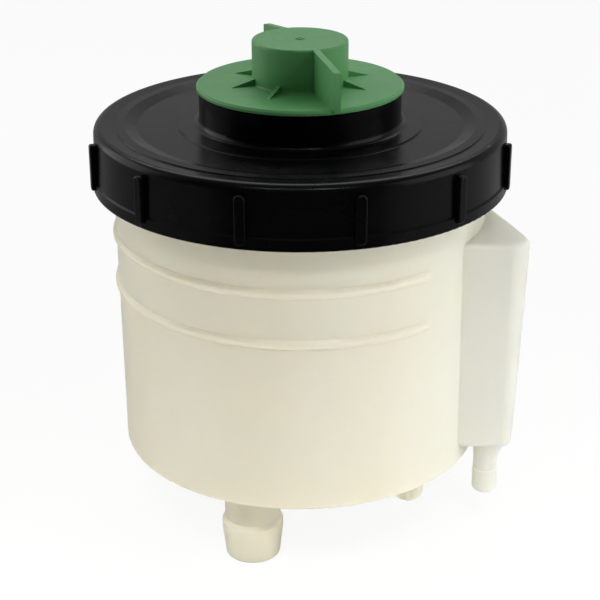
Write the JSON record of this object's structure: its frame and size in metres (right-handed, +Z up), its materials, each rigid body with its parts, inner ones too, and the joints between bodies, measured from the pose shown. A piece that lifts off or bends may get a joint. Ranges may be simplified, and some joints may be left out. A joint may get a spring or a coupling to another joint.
{
  "type": "power steering reservoir",
  "caption": "Round translucent oil tank with a side chamber, hose barbs below, a black screw lid and a green winged filler cap.",
  "frame": {"origin": "on the tank's axis, in the plane of its underside", "axes": "+Z up along the tank's axis, -Y towards the suction barb's side, +X towards the side chamber"},
  "size_m": [0.1681, 0.1622, 0.1969],
  "materials": {
    "tank_plastic": "natural translucent, satin",
    "lid_plastic": "black, satin",
    "cap_plastic": "green, satin",
    "seal_rubber": "matt",
    "felt": "felted",
    "strainer_plastic": "natural, satin",
    "steel_mesh": "woven gauze",
    "zinc_plate": "zinc plated",
    "filter_paper": "resin-dipped, pleated",
    "spring_steel": "drawn wire"
  },
  "bodies": {
    "tank": {"tank_body": "tank_plastic", "filter_top_plate": "zinc_plate", "filter_bottom_plate": "zinc_plate", "filter_paper": "filter_paper", "filter_core": "zinc_plate", "filter_grommet": "seal_rubber", "bypass_cage": "zinc_plate", "bypass_spring": "spring_steel", "hold_down_spring": "spring_steel"},
    "lid_ring": {"lid_seal": "seal_rubber", "spring_cup": "zinc_plate"},
    "lid": {"screw_lid": "lid_plastic", "strainer_frame": "strainer_plastic", "strainer_mesh": "steel_mesh"},
    "cap_ring": {"cap_seal": "seal_rubber"},
    "cap": {"filler_cap": "cap_plastic", "vent_retainer": "cap_plastic", "vent_valve": "seal_rubber", "vent_felt": "felt"},
    "bypass": {"bypass_valve": "zinc_plate"}
  },
  "joints": [
    {"name": "lid_lift", "type": "slide", "parent": "tank", "child": "lid_ring", "axis": [0, 0, 1], "range_m": [0, 0.0075], "deforming": ["hold_down_spring"]},
    {"name": "lid_turn", "type": "hinge", "parent": "lid_ring", "child": "lid", "pos_m": [0, 0, 0], "axis": [0, 0, 1], "range_deg": [0, 449]},
    {"name": "cap_lift", "type": "slide", "parent": "lid", "child": "cap_ring", "axis": [0, 0, 1], "range_m": [0, 0.00375]},
    {"name": "cap_turn", "type": "hinge", "parent": "cap_ring", "child": "cap", "pos_m": [0, 0, 0], "axis": [0, 0, 1], "range_deg": [0, 269]},
    {"name": "bypass_lift", "type": "slide", "parent": "tank", "child": "bypass", "axis": [0, 0, 1], "range_m": [0, 0.0025], "stiffness_N_per_m": 800, "springref_m": -0.002, "deforming": ["bypass_spring"]}
  ],
  "couplings": [
    {"joint": "lid_lift", "follows": "lid_turn", "m_per_rad": 0.00095493},
    {"joint": "cap_lift", "follows": "cap_turn", "m_per_rad": 0.00079577}
  ]
}
